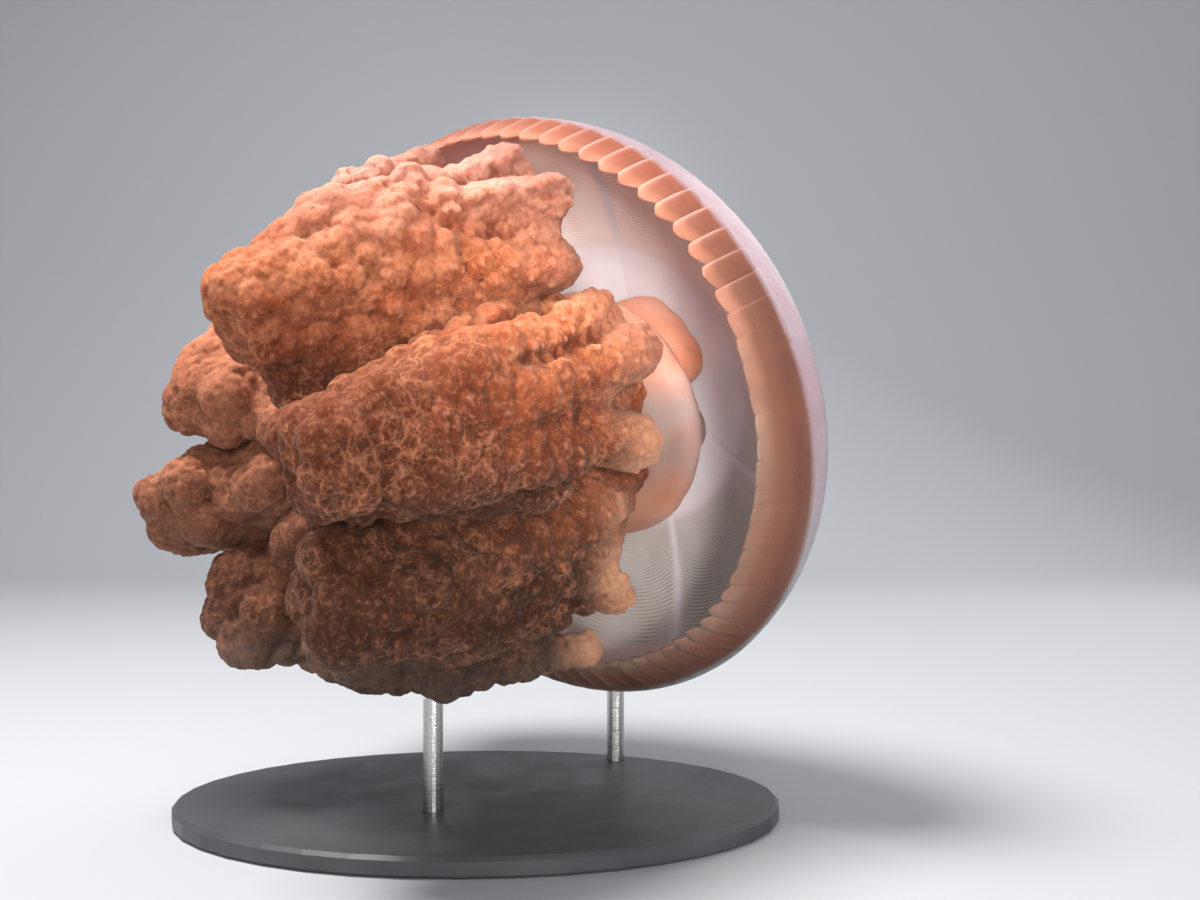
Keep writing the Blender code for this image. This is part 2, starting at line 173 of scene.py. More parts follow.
FINGER_INSET = 0.0011               # how deep the body under the knobs lies, at the fingers
BODY_INSET = 0.0046                 # and further down
CALM = {4: 0.75, 5: 0.45, 6: 0.45}  # arms with lower knobs than the others
SHADED_TIP_ARMS = (1, 2)                  # arms whose lower ends get painted shade
ARM_MIDDLE = 0.48                   # radius of an arm's middle line
BELLY_HALF = 0.20 * BELL_R          # half thickness of an arm
CREASE_DEPTH = 0.0028               # of the furrows between an arm's ridges
CREASE_HALF = 0.0022
CLEFT = 2.0                         # how much deeper the furrows are between the finger heads
OUTER_FURROW = 10                   # degrees outside the outer ridges
# size of the bumps' cells, their height and how far they are warped
FRILLS = ((0.0044, 0.0013, 0.8), (0.0022, 0.0005, 0.3))
WARP_SIZE = 0.007
WARP_REACH = 0.0018
FRILL_PATCH = 0.022                 # size of the patches with higher and lower bumps
# masks of the hollows: rounds of smoothing that find them, and the depth at which they are full
HOLLOWS = (("crease", 12, 0.0008), ("valley", 110, 0.0030))

# ---- camera: level, looking along +Y ----
CAMERA_AT = Vector((0.0507489, -0.5553715, 0.1520352))
LENS = 40.0
SENSOR = 36.0


# ---------------------------------------------------------------- noise
def hashed(cell, seed):
    """Three repeatable numbers from 0 to 1 for each whole-numbered cell."""
    c = cell.astype(np.int64).astype(np.uint32)
    h = c[..., 0] * np.uint32(73856093) ^ c[..., 1] * np.uint32(19349663)
    h = h ^ c[..., 2] * np.uint32(83492791) ^ np.uint32(seed * 2654435761 % 2**32)
    out = []
    for factor in (0x85EBCA6B, 0xC2B2AE35, 0x27D4EB2F):
        h = (h ^ (h >> np.uint32(15))) * np.uint32(factor)
        h = h ^ (h >> np.uint32(13))
        out.append(h.astype(np.float64) / 2**32)
    return np.stack(out, axis=-1)


def nearest_seed(points, size, seed):
    """Distance, in cell sizes, to the nearest of the points that are scattered one to a cell."""
    grid = points / size
    base = np.floor(grid)
    nearest = np.full(len(points), 9.0)
    for step in itertools.product((-1, 0, 1), repeat=3):
        cell = base + step
        gap = np.sqrt(((cell + hashed(cell, seed) - grid) ** 2).sum(axis=1))
        nearest = np.minimum(nearest, gap)
    return nearest


def soft_noise(points, size, seed):
    """Smooth noise from -1 to 1."""
    grid = points / size
    base = np.floor(grid)
    part = grid - base
    ease = part * part * (3 - 2 * part)
    total = np.zeros(len(points))
    for corner in itertools.product((0, 1), repeat=3):
        weight = np.ones(len(points))
        for axis, step in enumerate(corner):
            weight = weight * (ease[:, axis] if step else 1 - ease[:, axis])
        total += weight * hashed(base + corner, seed)[:, 0]
    return 2 * total - 1


def ramp(x, low, high):
    """0 below low, 1 above high, and a smooth step between."""
    share = np.clip((x - low) / (high - low), 0, 1)
    return share * share * (3 - 2 * share)


# ---------------------------------------------------------------- meshes
def new_object(name, mesh, pose=POSE):
    obj = bpy.data.objects.new(name, mesh)
    bpy.context.scene.collection.objects.link(obj)
    obj.matrix_world = pose
    return obj


def bake_modifiers(obj):
    bpy.context.view_layer.update()
    graph = bpy.context.evaluated_depsgraph_get()
    baked = bpy.data.meshes.new_from_object(obj.evaluated_get(graph))
    old = obj.data
    obj.modifiers.clear()
    obj.data = baked
    bpy.data.meshes.remove(old)


def points_of(mesh):
    co = np.empty(len(mesh.vertices) * 3, np.float32)
    mesh.vertices.foreach_get("co", co)
    return co.reshape(-1, 3).astype(np.float64)


def normals_of(mesh):
    no = np.empty(len(mesh.vertices) * 3, np.float32)
    mesh.vertices.foreach_get("normal", no)
    return no.reshape(-1, 3).astype(np.float64)


def set_points(mesh, co):
    mesh.vertices.foreach_set("co", co.astype(np.float32).ravel())
    mesh.update()


def set_mask(mesh, name, values):
    layer = mesh.attributes.new(name, "FLOAT", "POINT")
    layer.data.foreach_set("value", np.asarray(values, np.float32))


def lowness(points):
    """0 at the animal's top, 1 at its bottom, by height in the world. The materials darken lower parts by it,
    partly as painted shade.
    """
    return 0.5 - 0.5 * (points @ WORLD_UP) / (0.9 * BELL_R)


def unit_ball(subdivisions):
    """Points and triangles of an icosphere of radius 1."""
    bm = bmesh.new()
    bmesh.ops.create_icosphere(bm, subdivisions=subdivisions, radius=1.0)
    co = np.array([v.co for v in bm.verts])
    tris = np.array([[v.index for v in f.verts] for f in bm.faces])
    bm.free()
    return co, tris


def ellipsoids(lobes, subdivisions=3):
    """Points and triangles of many ellipsoids, each given by its centre, half axes and, maybe, its turn."""
    co, tris = unit_ball(subdivisions)
    points = []
    for centre, halves, *turn in lobes:
        shape = co * np.array(halves)
        if turn:
            shape = shape @ np.array(turn[0]).T
        points.append(shape + np.array(centre))
    faces = (tris[None] + (np.arange(len(lobes)) * len(co))[:, None, None]).reshape(-1, 3)
    return np.concatenate(points), faces


def triangle_mesh(name, points, faces):
    mesh = bpy.data.meshes.new(name)
    mesh.from_pydata(points.tolist(), [], faces.tolist())
    return mesh


def triangles_of(mesh):
    mesh.calc_loop_triangles()
    tris = np.empty(len(mesh.loop_triangles) * 3, np.int32)
    mesh.loop_triangles.foreach_get("vertices", tris)
    return tris.reshape(-1, 3)


def flowing_body(name, points, faces, voxel, smooth):
    obj = new_object(name, triangle_mesh(name, points, faces))
    remesh = obj.modifiers.new("flow", "REMESH")
    remesh.mode = "VOXEL"
    remesh.voxel_size = voxel
    soften = obj.modifiers.new("soften", "SMOOTH")
    soften.iterations = smooth
    bake_modifiers(obj)
    return obj


def polar(share, degrees, z=0.0):
    angle = math.radians(degrees)
    return Vector((share * math.cos(angle), share * math.sin(angle), z)) * BELL_R


def around(azimuth, z, radius=1.0):
    """Points round the bell's axis."""
    z = np.broadcast_to(z, azimuth.shape)
    return np.stack([radius * np.cos(azimuth), radius * np.sin(azimuth), z], 1)


def mix(first, last, share):
    return first + (last - first) * share


# ---------------------------------------------------------------- bell
class Rings:
    """A closed skin made of rings of points round the bell's axis, from pole to pole."""

    def __init__(self):
        self.points = []
        self.masks = []
        self.faces = []
        self.count = 0
        self.last = None

    def pole(self, z, masks):
        start = self.count
        self.points.append(np.array([[0.0, 0.0, z]]))
        self.masks.append({k: np.array([v]) for k, v in masks.items()})
        self.count += 1
        self.join(start, 1)

    def ring(self, co, masks):
        start = self.count
        self.points.append(co)
        self.masks.append({k: np.broadcast_to(v, (len(co),)) for k, v in masks.items()})
        self.count += len(co)
        self.join(start, len(co))

    def join(self, start, size):
        """Faces from the last ring to this one, which has as many points, half or twice as many, or one."""
        if self.last:
            upper, wide = self.last
            n = min(size, wide)
            if n == 1:
                tip, ring, n = (upper, start, size) if wide == 1 else (start, upper, wide)
                k = np.arange(n)
                tris = np.column_stack([np.full(n, tip), ring + k, ring + (k + 1) % n])
                self.faces += (tris if wide == 1 else tris[:, ::-1]).tolist()
            elif wide == size:
                a = np.arange(n)
                b = (a + 1) % n
                self.faces += np.stack([upper + a, start + a, start + b, upper + b], 1).tolist()
            else:
                down = wide < size
                coarse, fine, many = (upper, start, size) if down else (start, upper, wide)
                k = np.arange(n)
                c0, c1 = coarse + k, coarse + (k + 1) % n
                f0, f1, f2 = (fine + (2 * k + step) % many for step in range(3))
                for first, second, third in ((c0, f0, f1), (c0, f1, c1), (c1, f1, f2)):
                    tris = (first, second, third) if down else (first, third, second)
                    self.faces += np.stack(tris, 1).tolist()
        self.last = (start, size)

    def mesh(self, name):
        mesh = bpy.data.meshes.new(name)
        mesh.from_pydata(np.concatenate(self.points).tolist(), [], self.faces)
        mesh.update()
        names = sorted({k for masks in self.masks for k in masks})
        sizes = [len(p) for p in self.points]
        for key in names:
            parts = [m.get(key, np.zeros(n)) for m, n in zip(self.masks, sizes)]
            set_mask(mesh, key, np.concatenate(parts))
        return mesh


def even_columns(count):
    return np.arange(count) * 2 * math.pi / count


def lappet_columns():
    """Azimuth of each column, its lappet, and its place across the lappet."""
    across = np.tile(np.array(COLUMNS_PER_LAPPET), LAPPETS)
    lappet = np.repeat(np.arange(LAPPETS), len(COLUMNS_PER_LAPPET))
    return (lappet + across) * 2 * math.pi / LAPPETS, lappet, across


def lap_way(azimuth):
    """+1 where lappets lap over the neighbour at lower azimuth, -1 the other way, 0 where they lie flush."""
    turn = np.sin(azimuth - FLUSH_AT)
    return -np.sign(turn) * ramp(np.abs(turn), 0.28, 0.75)


def dome_ring(q, azimuth, radius, height, lift=0.0):
    r = (radius + lift) * math.cos(q)
    z = (height + lift) * math.sin(q)
    return around(azimuth, z, r)


def margin_ring(azimuth, roll, along, lift):
    fold = FOLD_MEAN + FOLD_SWING * np.cos(azimuth - FOLD_PEAK)
    angle = fold * roll
    radius = BELL_R - SKIN_INSET - FOLD_R * (1 - np.cos(angle)) - along * np.sin(angle)
    height = -FOLD_R * np.sin(angle) - along * np.cos(angle) - lift * np.sin(angle)
    radius = radius + lift * np.cos(angle)
    return around(azimuth, height, radius)


def band_place(along, azimuth):
    """Place across the coloured band, which starts further in where the rim hangs lowest."""
    late = BAND_LATE * ramp(np.cos(azimuth - LOWEST_AT), 0.60, 0.95)
    return (along - late) / (1 - late)


def streaks(place):
    """Uneven fine streaks that run down the lappets, by the place round the rim in lappets."""
    fine = soft_noise(np.stack([place, 0 * place, 0 * place], 1), 0.23, 71)
    broad = soft_noise(np.stack([place, 0 * place, 0 * place], 1), 1.9, 72)
    return np.clip(0.5 + 0.6 * fine * ramp(broad, -0.5, 0.6), 0, 1)


def margin_masks(along_band, lappet, across, envelope):
    way = lap_way((lappet + 0.5) * 2 * math.pi / LAPPETS)
    side = np.where(way > 0, across, 1 - across)
    flush = 1 - np.abs(way)
    tone = hashed(np.stack([lappet, lappet, lappet], 1), 5)[:, 0]
    return {
        "band": 1.0, "along": along_band, "lappet_tone": tone, "streak": streaks(lappet + across),
        # painted highlight along each lappet's free edge
        "edge": envelope ** 2 * np.abs(way) * np.exp(-side / 0.055),
        # painted shadow beneath each lapping edge, and faint painted shade in the seams where lappets lie
        # flush
        "groove": envelope * (np.abs(way) * np.exp(-(1 - side) / 0.16)
                              + 0.3 * flush * np.exp(-side * (1 - side) / 0.04)),
    }


def lappet_relief(lappet, across, envelope):
    """Height of the outer face over the plain margin, and the sideways lap."""
    way = lap_way((lappet + 0.5) * 2 * math.pi / LAPPETS)
    side = np.where(way > 0, across, 1 - across)
    step = LAPPET_STEP * (0.40 - side ** 1.5)
    bulge = LAPPET_BULGE * ((4 * across * (1 - across)) ** 0.4 - 0.8)
    height = envelope * (np.abs(way) * step + 0.4 * (1 - np.abs(way)) * bulge)
    lap = -way * LAPPET_OVERHANG * np.exp(-side / 0.05) * envelope * 2 * math.pi / LAPPETS
    return height, lap


def lappet_reach(lappet, across):
    """Length of a lappet across its width: rounded where flush, else a flap longest near its free edge."""
    way = lap_way((lappet + 0.5) * 2 * math.pi / LAPPETS)
    side = np.where(way > 0, across, 1 - across)
    rounded = 0.05 * (1 - np.sin(math.pi * side) ** 0.6)
    before = np.clip((LAPPET_POINT - side) / LAPPET_POINT, 0, 1)
    after = np.clip((side - LAPPET_POINT) / (1 - LAPPET_POINT), 0, 1)
    pointed = 0.16 * before ** 2 + LAPPET_SLANT * after ** 1.3
    tone = hashed(np.stack([lappet, lappet, lappet], 1), 9)[:, 0]
    return LAPPET_LENGTH * (0.98 - mix(rounded, pointed, np.abs(way)) - 0.05 * tone)


def muscle_bow(azimuth):
    """0 in a muscle panel's middle and 1 at its canals, how much of a canal there is, and the panel."""
    turn = 2 * math.pi
    canals = np.sort(np.mod(np.array(CANALS), turn))
    wrapped = np.mod(azimuth, turn)
    after = np.searchsorted(canals, wrapped) % len(canals)
    high = canals[after]
    low = canals[after - 1]
    width = np.mod(high - low, turn)
    share = np.mod(wrapped - low, turn) / width
    bow = np.abs(2 * share - 1) ** 2.6
    nearest = np.minimum(share, 1 - share) * width
    return bow, np.exp(-(nearest * BELL_R / CANAL_HALF) ** 2), after


def bell_skin():
    skin = Rings()
    radius = BELL_R - SKIN_INSET
    height = DOME_H - SKIN_INSET
    # outside of the dome
    skin.pole(height, {})
    columns, lappet, across = lappet_columns()
    for count, angles in DOME_RINGS:
        azimuth = columns if count == len(columns) else even_columns(count)
        for angle in angles:
            q = math.radians(angle)
            co = dome_ring(q, azimuth, radius, height)
            grain = nearest_seed(co, PIMPLE_SIZE, 3)
            rough = PIMPLE_HEIGHT * ramp(math.cos(q), 0.80, 0.97)
            co = dome_ring(q, azimuth, radius, height, rough * (0.5 - grain) - rough)
            skin.ring(co, {"band": ramp(math.cos(q), 0.965, 1.0) * 0.5, "rim": ramp(math.cos(q), 0.82, 0.97)})
    # outside of the margin
    azimuth = columns
    reach = lappet_reach(lappet, across)
    arc = FOLD_R * (FOLD_MEAN + FOLD_SWING * np.cos(azimuth - FOLD_PEAK))
    total = arc + LAPPET_LENGTH
    for roll in np.linspace(0.12, 1.0, 8):
        envelope = ramp(-(1 - roll) * arc / LAPPET_LENGTH, -0.55, 0.40)
        lift, lap = lappet_relief(lappet, across, envelope)
        masks = margin_masks(band_place(roll * arc / total, azimuth), lappet, across, envelope)
        masks["rim"] = 1 - ramp(roll * arc / total, 0.0, 0.25)
        skin.ring(margin_ring(azimuth + lap, roll, 0, lift), masks)
    for share in LAPPET_ROWS:
        envelope = ramp(share, -0.55, 0.40)
        lift, lap = lappet_relief(lappet, across, envelope)
        end = ramp(share, 0.80, 1.0)
        place = band_place((arc + share * LAPPET_LENGTH) / total, azimuth)
        masks = margin_masks(place, lappet, across, envelope)
        masks["end"] = end
        skin.ring(margin_ring(azimuth + lap, 1.0, share * reach, lift - LAPPET_END_DROP * end), masks)
    # the lappets' rounded ends and their inner face
    lift, lap = lappet_relief(lappet, across, 1.0)
    ends = {"band": 1.0, "along": 1.0, "end": 1.0, "inside": 0.5}
    skin.ring(margin_ring(azimuth + lap, 1.0, reach, (lift - LAPPET_END_DROP - LAPPET_INNER) / 2), ends)
    for share in LAPPET_INNER_ROWS:
        thick = mix(MARGIN_THICK, LAPPET_INNER, ramp(share, 0.0, 0.9))
        calm = lap * ramp(share, 0.5, 1.0)
        masks = {"band": 1.0, "along": (arc + share * LAPPET_LENGTH) / total, "inside": 1.0,
                 "end": ramp(share, 0.8, 1.0)}
        skin.ring(margin_ring(azimuth + calm, 1.0, share * reach, -thick), masks)
    for roll in (1.0, 0.66, 0.33, 0.0):
        thick = mix(WALL_THICK, MARGIN_THICK, roll)
        masks = {"band": 0.6 + 0.4 * roll, "along": roll * arc / total, "inside": 1.0}
        skin.ring(margin_ring(azimuth, roll, 0, -thick), masks)
    # inside of the bell
    inner_r = BELL_R - WALL_THICK
    inner_h = DOME_H - ROOF_THICK
    rows = int((MUSCLE_OUTER - MUSCLE_INNER) * BELL_R * 1.15 / MUSCLE_PITCH * ROWS_PER_MUSCLE)
    azimuth = even_columns(MUSCLE_COLUMNS)
    bow, canal, panel = muscle_bow(azimuth)
    shaded = mix(0.10, 0.35, ramp(np.cos(azimuth - LOWEST_AT), -0.4, 0.5))
    wander = around(azimuth, 0.0)
    for k in range(rows + 1):
        share = k / rows
        base = mix(MUSCLE_OUTER, MUSCLE_INNER, share)
        here = base - bow * mix(0.015, MUSCLE_BOW, ramp(share, 0.0, 0.9))
        drift = wander * BELL_R * 0.9
        drift[:, 2] = share * 0.05 + panel * 0.7
        phase = k / ROWS_PER_MUSCLE + 1.5 * soft_noise(drift, 0.026, 21)
        ridge = np.cos(2 * math.pi * phase)
        strength = ramp(soft_noise(drift, 0.012, 33), -0.6, 0.9)
        wide = ramp(share, 0.0, 0.06) * (1 - ramp(here, MUSCLE_INNER + 0.09, MUSCLE_INNER + 0.01))
        wide = wide * (1 - canal)
        q = np.arccos(np.clip(here, 0, 1))
        relief = -MUSCLE_RELIEF * shaded * ridge * strength * wide + CANAL_RELIEF * canal
        co = around(azimuth, (inner_h + relief) * np.sin(q), (inner_r + relief) * np.cos(q))
        skin.ring(co, {"inside": 1.0, "muscle": wide * (0.5 + 0.5 * ridge * strength), "muscle_zone": wide,
                       "canal": canal * ramp(here, 0.45, 0.6), "band": 0.5 * (1 - ramp(share, 0, 0.05))})
    for count, shares in ROOF_RINGS:
        azimuth = even_columns(count)
        bow = muscle_bow(azimuth)[0]
        for share in shares:
            here = share - bow * MUSCLE_BOW * ramp(share, 0.30, MUSCLE_INNER)
            q = np.arccos(here)
            skin.ring(around(azimuth, inner_h * np.sin(q), inner_r * np.cos(q)), {"inside": 1.0})
    skin.pole(inner_h, {"inside": 1.0})
    mesh = skin.mesh("bell_skin")
    set_mask(mesh, "low", lowness(points_of(mesh)))
    obj = new_object("bell_skin", mesh)
    mesh.shade_smooth()
    return obj


# ---------------------------------------------------------------- arm disc
def arm_disc_skin():
    middle = polar(DISC_SHIFT, DISC_SHIFT_TO) + Vector((0, 0, DISC_Z))
    lobes = [(middle, (DISC_R, DISC_R, DISC_HALF_THICK))]
    width, height = (half * BELL_R for half in PILLAR_HALVES)
    for k in range(PILLAR_COUNT):
        azimuth = PILLAR_FIRST + 360 / PILLAR_COUNT * k
        for side in PILLAR_SPREAD:
            lobes.append((polar(PILLAR_RING, azimuth + side, PILLAR_Z), (width, width, height)))
    obj = flowing_body("disc_skin", *ellipsoids(lobes), DISC_VOXEL, 14)
    mesh = obj.data
    co = points_of(mesh)
    co += normals_of(mesh) * (0.0006 * soft_noise(co, 0.012, 4) + 0.0003 * soft_noise(co, 0.005, 8))[:, None]
    dome = np.sqrt(1 - (co[:, 0] ** 2 + co[:, 1] ** 2) / BELL_R ** 2)
    co[:, 2] = np.minimum(co[:, 2], (DOME_H - ROOF_THICK + PILLAR_INTO_ROOF) * dome)
    set_points(mesh, co)
    set_mask(mesh, "height", co @ WORLD_UP / BELL_R)
    set_mask(mesh, "reach", np.hypot(co[:, 0] - middle.x, co[:, 1] - middle.y) / BELL_R)
    mesh.shade_smooth()
    return obj


# ---------------------------------------------------------------- oral arms
def bundle_centre(depth):
    return Vector((LEAN.x * depth, LEAN.y * depth, -depth)) * BELL_R


def arm_point(radius, azimuth, depth):
    return bundle_centre(depth) + polar(radius, azimuth)


def narrowing(arm, share):
    """Share of its full width that an arm has this far down."""
    return mix(1.0, arm.taper, max(0.0, (share - TAPER_FROM) / (1 - TAPER_FROM)))


def ridge_line(arm, ridge, share):
    """Middle of a ridge at a share of the way from its finger to the arm's tip, and its half width."""
    azimuth = mix(arm.root + arm.fan[ridge + 1], arm.tip + ridge * TIP_FAN, share)
    radius = mix(arm.fingers[ridge + 1], arm.tip_radius, share) + RIDGE_SWELL * math.sin(math.pi * share)
    depth = mix(FINGER_DEPTH + FINGER_STEP * abs(ridge), arm.tip_depth, share)
    wave = math.sin(RIDGE_WAVE_TURN * share + RIDGE_WAVE_SHIFT * ridge + arm.root)
    size = mix(arm.finger, RIDGE_SIZE, min(1.0, share / RIDGE_FULL_AT)) * (1 + RIDGE_WAVE * wave)
    neck = mix(FINGER_SLIM[ridge + 1], NECK, min(1.0, share / NECK_AT))
    slim = mix(neck, 1.0, min(1.0, max(0.0, share - NECK_AT) / 0.3))
    return arm_point(radius, azimuth, depth), size * slim * narrowing(arm, share) * BELL_R


def ridge_core(arm, ridge):
    lobes = []
    for k in range(RIDGE_BALLS):
        share = k / (RIDGE_BALLS - 1)
        centre, size = ridge_line(arm, ridge, share)
        core = size * (1.0 if k == 0 else mix(*CORE_SHARE, ramp(share, 0.15, 0.5)))
        lobes.append((centre, (core, core, core)))
    return lobes


def side_core(arm, side):
    """A lower ridge beside the outer ones, which closes the arm's flank."""
    lobes = []
    for k in range(3, 11):
        share = k / 10
        azimuth = mix(arm.root + SIDE_RIDGE * arm.fan[side + 1], arm.tip + side * SIDE_RIDGE * TIP_FAN, share)
        radius = mix(arm.fingers[side + 1], arm.tip_radius, share) - SIDE_DROP
        radius += RIDGE_SWELL * math.sin(math.pi * share)
        depth = mix(FINGER_DEPTH, arm.tip_depth - SIDE_ABOVE_TIP, share)
        size = SIDE_SIZE * narrowing(arm, share) * BELL_R
        lobes.append((arm_point(radius, azimuth, depth), (size, size, size)))
    return lobes


def ridge_folds(arm, ridge, draw):
    """Overlapping folds, set across a ridge along its whole length."""
    lobes = []
    share = 0.10
    while share < 0.9:
        centre, size = ridge_line(arm, ridge, share)
        ahead = ridge_line(arm, ridge, share + 0.01)[0] - centre
        way = ahead.normalized()
        tilt = Vector([draw.uniform(-FOLD_TILT, FOLD_TILT) for _ in range(3)])
        turn = (way + tilt).to_track_quat("Z", "Y").to_matrix()
        wide = size * draw.uniform(0.80, 1.02)
        deep = size * draw.uniform(0.80, 1.02)
        half = mix(*FOLD_HALF, share) * draw.uniform(0.7, 1.3)
        shift = Vector([draw.uniform(-0.14, 0.14) * size for _ in range(3)])
        lobes.append((centre + shift, (wide, deep, half), turn))
        step = mix(*FOLD_SPACING, share) * draw.uniform(0.5, 1.5)
        share += 0.01 * step / ahead.length
    return lobes


def core_lobes(arm):
    wing, wing_height = (half * BELL_R for half in WING_HALVES)
    lobes = []
    for k in range(CORE_LOBES):
        share = k / (CORE_LOBES - 1)
        middle = math.sin(math.pi * share)
        azimuth = mix(arm.root, arm.tip, share)
        depth = mix(CORE_TOP, arm.tip_depth - CORE_TOP, share)
        radius = mix(CORE_ROOT, arm.tip_radius - CORE_BELOW_TIP, share) + CORE_BOW * middle
        size = (CORE_SIZE[0] + CORE_SIZE[1] * middle) * narrowing(arm, share) * BELL_R
        lobes.append((arm_point(radius, azimuth, depth), (size, size, size)))
        if 1 < k < CORE_LOBES - 1:
            lobes.append((arm_point(0.5 * radius, azimuth, depth), (wing, wing, wing_height)))
    return lobes


def filling(arm):
    """Flesh on the arm's inner side, where it is joined to its neighbours."""
    size = FILL_SIZE * BELL_R
    azimuth = mix(arm.root, arm.tip, 0.5)
    depths = np.linspace(FILL_TOP, arm.tip_depth - FILL_ABOVE_TIP, 4)
    return [(arm_point(FILL_RADIUS, azimuth, depth), (size, size, size)) for depth in depths]


def scattered(points, spacing, seed):
    """Indices of points that lie at least the spacing apart."""
    order = np.argsort(hashed(np.round(points * 1e5), seed)[:, 0], kind="stable")
    kept = []
    held = np.empty((0, 3))
    for k in order:
        if not len(held) or ((held - points[k]) ** 2).sum(axis=1).min() > spacing ** 2:
            kept.append(k)
            held = points[kept]
    return np.array(kept)


def body_inset(number, depth):
    """How deep the body under the knobs lies."""
    return mix(FINGER_INSET, BODY_INSET * CALM.get(number, 1.0), ramp(depth, 0.35, 0.60))


def knobs(number, points, normals):
    """Round knobs of many sizes over the whole surface, clear of the furrows."""
    open_points = np.nonzero(furrows(ARMS[number], points, number) < 0.3 * CREASE_DEPTH)[0]
    near = -points[open_points, 2] / BELL_R < HEADS_TO
    chosen = np.concatenate([group[scattered(points[group], spacing, number)] for group, spacing in
                             ((open_points[near], HEAD_KNOB_SPACING), (open_points[~near], KNOB_SPACING))])
    rand = hashed(np.round(points[chosen] * 1e5), number + 100)
    depth = -points[chosen, 2] / BELL_R
    size = mix(*KNOB_R, rand[:, 0]) * mix(0.50, 1.0, ramp(depth, 0.35, 0.60))
    size = size * mix(1.0, 1.2, ramp(depth, 0.6, 1.0))
    stand = body_inset(number, depth) * mix(0.55, 1.08, rand[:, 1])
    centres = points[chosen] + normals[chosen] * (stand - size)[:, None]
    return [(c, (r, r, r)) for c, r in zip(centres, size)]


def furrows(arm, points, seed):
    """How far the surface sinks in the long furrows between the ridges and along them."""
    depth = -points[:, 2] / BELL_R
    share = np.clip((depth - FINGER_DEPTH) / (arm.tip_depth - FINGER_DEPTH), -0.2, 1)
    side = points[:, 0] - LEAN.x * depth * BELL_R
    front = points[:, 1] - LEAN.y * depth * BELL_R
    radius = np.hypot(side, front)
    turn = np.arctan2(front, side)
    bend = 0.18 * soft_noise(points, 0.020, seed)
    first, second, third = arm.fan
    lines = ((first - OUTER_FURROW, -15, 0.3), (0.5 * (first + second), -5, 0.0),
             (0.5 * (second + third), 5, 0.0), (third + OUTER_FURROW, 15, 0.3))
    sunk = np.zeros(len(points))
    for offset, at_tip, begins in lines:
        place = np.radians(mix(arm.root + offset, arm.tip + at_tip, share))
        away = np.mod(turn - place + math.pi, 2 * math.pi) - math.pi + bend * np.radians(10)
        cleft = 1 + (CLEFT - 1) * (1 - ramp(share, 0.05, 0.30)) * (begins == 0)
        sunk += (CREASE_DEPTH * cleft * np.exp(-(away * radius / (CREASE_HALF * np.sqrt(cleft))) ** 2)
                 * ramp(share, begins - 0.3, begins))
    outside = ramp(radius, 0.45 * BELL_R, 0.60 * BELL_R)
    patchy = mix(0.45, 1.0, ramp(soft_noise(points, 0.020, seed + 2), -0.6, 0.3))
    return sunk * outside * patchy * (1 - ramp(share, 0.35, 0.70))


def close_valleys(obj):
    """Fills the lower arm's valleys: the surface moves out, is made anew and moves back."""
    for way in (1, -1):
        co = points_of(obj.data)
        reach = CLOSE_REACH * ramp(-co[:, 2] / BELL_R, 0.60, 0.85)
        set_points(obj.data, co + way * normals_of(obj.data) * reach[:, None])
        remesh = obj.modifiers.new("flow", "REMESH")
        remesh.mode = "VOXEL"
        remesh.voxel_size = FLOW_VOXEL
        bake_modifiers(obj)


def settled(obj, rounds):
    """Points of a much smoothed copy of an object, on which its folds have settled."""
    copy = obj.copy()
    copy.data = obj.data.copy()
    bpy.context.scene.collection.objects.link(copy)
    soften = copy.modifiers.new("settle", "SMOOTH")
    soften.factor = 0.9
    soften.iterations = rounds
    bake_modifiers(copy)
    co = points_of(copy.data)
    bpy.data.objects.remove(copy)
    return co


